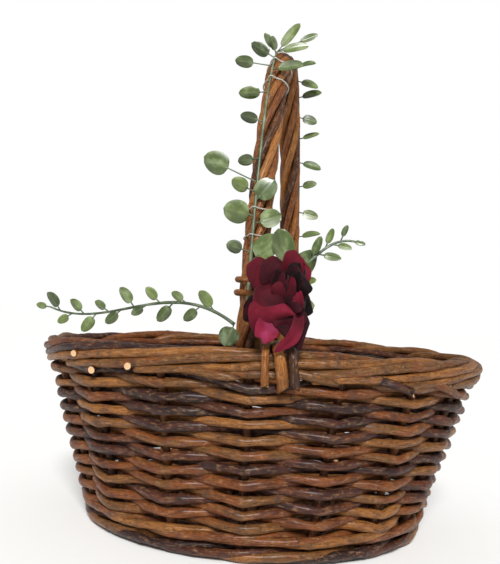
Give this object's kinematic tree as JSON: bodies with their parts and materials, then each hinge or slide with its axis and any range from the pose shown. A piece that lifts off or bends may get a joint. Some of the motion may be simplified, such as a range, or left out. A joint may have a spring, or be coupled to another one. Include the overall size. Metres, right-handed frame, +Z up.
{
  "type": "flower girl basket",
  "caption": "Small oval willow basket with a roped bow handle, leafy garland and fabric rose, for carrying petals in a wedding procession.",
  "frame": {"origin": "middle of the oval underside, on the plane that the basket stands on", "axes": "+Z up; X along the oval's long way, +X to the right seen from the front; the front, where the rose is tied on, faces -Y"},
  "size_m": [0.3402, 0.2637, 0.3831],
  "materials": {
    "willow_weave": "clear gloss lacquer over brown bark",
    "willow_stakes": "clear gloss lacquer over brown bark",
    "willow_border": "clear gloss lacquer over brown bark",
    "willow_handle": "clear gloss lacquer over orange-brown bark",
    "vine_stem": "matt",
    "vine_leaf": "soft gloss with a pale bloom",
    "rose_petal": "matt dyed cloth, starched",
    "rose_calyx": "matt",
    "clear_tie": "clear, glossy"
  },
  "bodies": {
    "root": {"weaver_row_01": "willow_weave", "weaver_row_02": "willow_weave", "weaver_row_03": "willow_weave", "weaver_row_04": "willow_weave", "weaver_row_05": "willow_weave", "weaver_row_06": "willow_weave", "weaver_row_07": "willow_weave", "weaver_row_08": "willow_weave", "weaver_row_09": "willow_weave", "weaver_row_10": "willow_weave", "weaver_row_11": "willow_weave", "weaver_row_12": "willow_weave", "weaver_row_13": "willow_weave", "weaver_row_14": "willow_weave", "weaver_row_15": "willow_weave", "weaver_row_16": "willow_weave", "weaver_row_17": "willow_weave", "weaver_row_18": "willow_weave", "weaver_row_19": "willow_weave", "weaver_row_20": "willow_weave", "weaver_row_21": "willow_weave", "side_stakes_front_right": "willow_stakes", "side_stakes_back_right": "willow_stakes", "side_stakes_back_left": "willow_stakes", "side_stakes_front_left": "willow_stakes", "base_sticks_long": "willow_stakes", "base_sticks_cross": "willow_stakes", "base_weave_upper": "willow_weave", "base_weave_lower": "willow_weave", "foot_wale": "willow_weave", "border_outer_lower": "willow_border", "border_outer_upper": "willow_border", "border_inner_lower": "willow_border", "border_inner_upper": "willow_border", "border_top": "willow_border", "handle_bow": "willow_handle", "handle_roped_rod_1": "willow_handle", "handle_roped_rod_2": "willow_handle", "handle_roped_rod_3": "willow_handle", "handle_roped_rod_4": "willow_handle", "handle_roped_rod_5": "willow_handle", "handle_roped_rod_6": "willow_handle", "handle_binding_front": "willow_handle", "handle_binding_back": "willow_handle", "handle_lashing_front": "willow_handle", "handle_lashing_back": "willow_handle", "vine_stem_front": "vine_stem", "vine_stem_back": "vine_stem", "vine_stem_left_sprig": "vine_stem", "vine_stem_right_sprig": "vine_stem", "vine_leaves_front": "vine_leaf", "vine_leaves_back": "vine_leaf", "vine_leaves_left_sprig": "vine_leaf", "vine_leaves_right_sprig": "vine_leaf", "vine_ties": "clear_tie", "rose_petals_outer": "rose_petal", "rose_petals_middle": "rose_petal", "rose_petals_inner": "rose_petal", "rose_bud": "rose_petal", "rose_calyx": "rose_calyx"}
  },
  "joints": []
}
